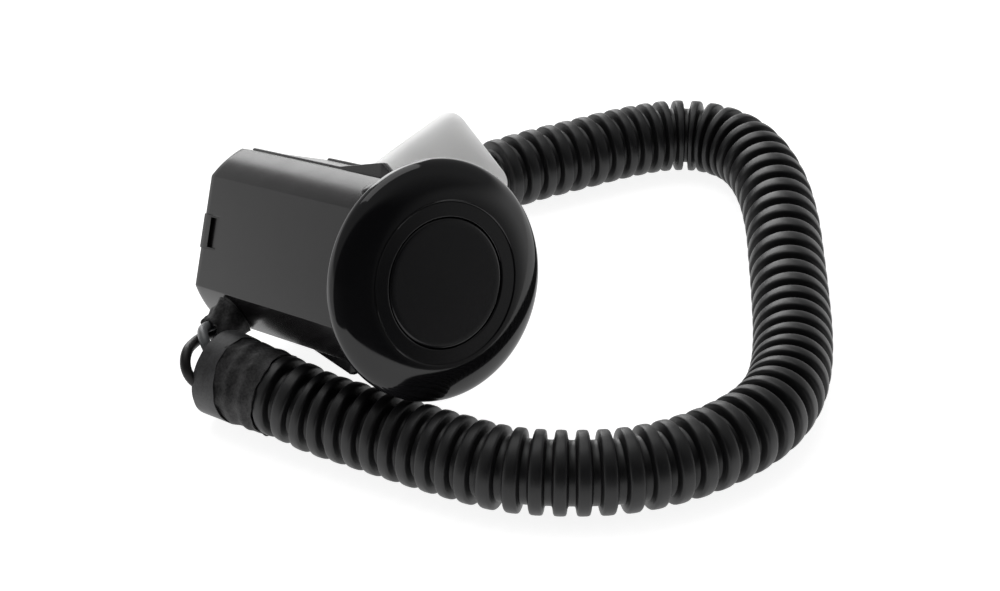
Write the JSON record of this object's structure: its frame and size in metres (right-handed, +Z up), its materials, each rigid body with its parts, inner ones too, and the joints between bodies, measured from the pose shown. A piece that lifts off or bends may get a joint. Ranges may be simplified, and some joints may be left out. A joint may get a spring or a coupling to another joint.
{
  "type": "parking sensor",
  "caption": "Snap-in ultrasonic parking sensor with a gloss round face, a flat-sided dark body and a short ribbed conduit lead that ends in a pale plug.",
  "frame": {"origin": "on the table under the middle of the sensor's own box, the lead left out", "axes": "+Z up from the table the sensor lies on; the round face looks along -Y and is tilted upwards by 16.2 degrees, as pictured; +X to the right when seen from the face's side of the table"},
  "size_m": [0.0921, 0.0766, 0.0332],
  "materials": {
    "gloss_black": "high gloss",
    "painted_cup": "satin black",
    "silicone": "matt",
    "ceramic": "matt",
    "foam": "matt",
    "body_plastic": "fine matt moulding",
    "board": "satin",
    "ferrite": "matt",
    "copper": "satin",
    "capacitor_can": "sleeved",
    "chip": "matt",
    "crystal_can": "satin",
    "lead_plastic": "satin",
    "potting": "satin",
    "wire_dark": "satin",
    "wire_black": "satin",
    "wire_grey": "satin",
    "tape": "satin tape",
    "conduit_plastic": "satin",
    "band_tape": "satin tape",
    "plug_plastic": "satin",
    "terminal": "bright",
    "seal_green": "matt"
  },
  "bodies": {
    "root": {"bezel": "gloss_black", "membrane_cup": "painted_cup", "decoupling_ring": "silicone", "piezo_disc": "ceramic", "damping_foam": "foam", "housing": "body_plastic", "rear_cover": "body_plastic", "circuit_board": "board", "transformer_core": "ferrite", "transformer_coil": "copper", "capacitor": "capacitor_can", "driver_chip": "chip", "crystal": "crystal_can", "piezo_leads": "lead_plastic", "potting": "potting", "cable_grommet": "silicone", "wire_power": "wire_dark", "wire_ground": "wire_black", "wire_signal": "wire_grey", "bundle_tape": "tape", "conduit": "conduit_plastic", "conduit_tape": "tape", "tape_band": "band_tape", "connector_shell": "plug_plastic", "connector_terminals": "terminal", "connector_lock": "plug_plastic", "seal_mat": "seal_green", "rear_cap": "plug_plastic"}
  },
  "joints": []
}
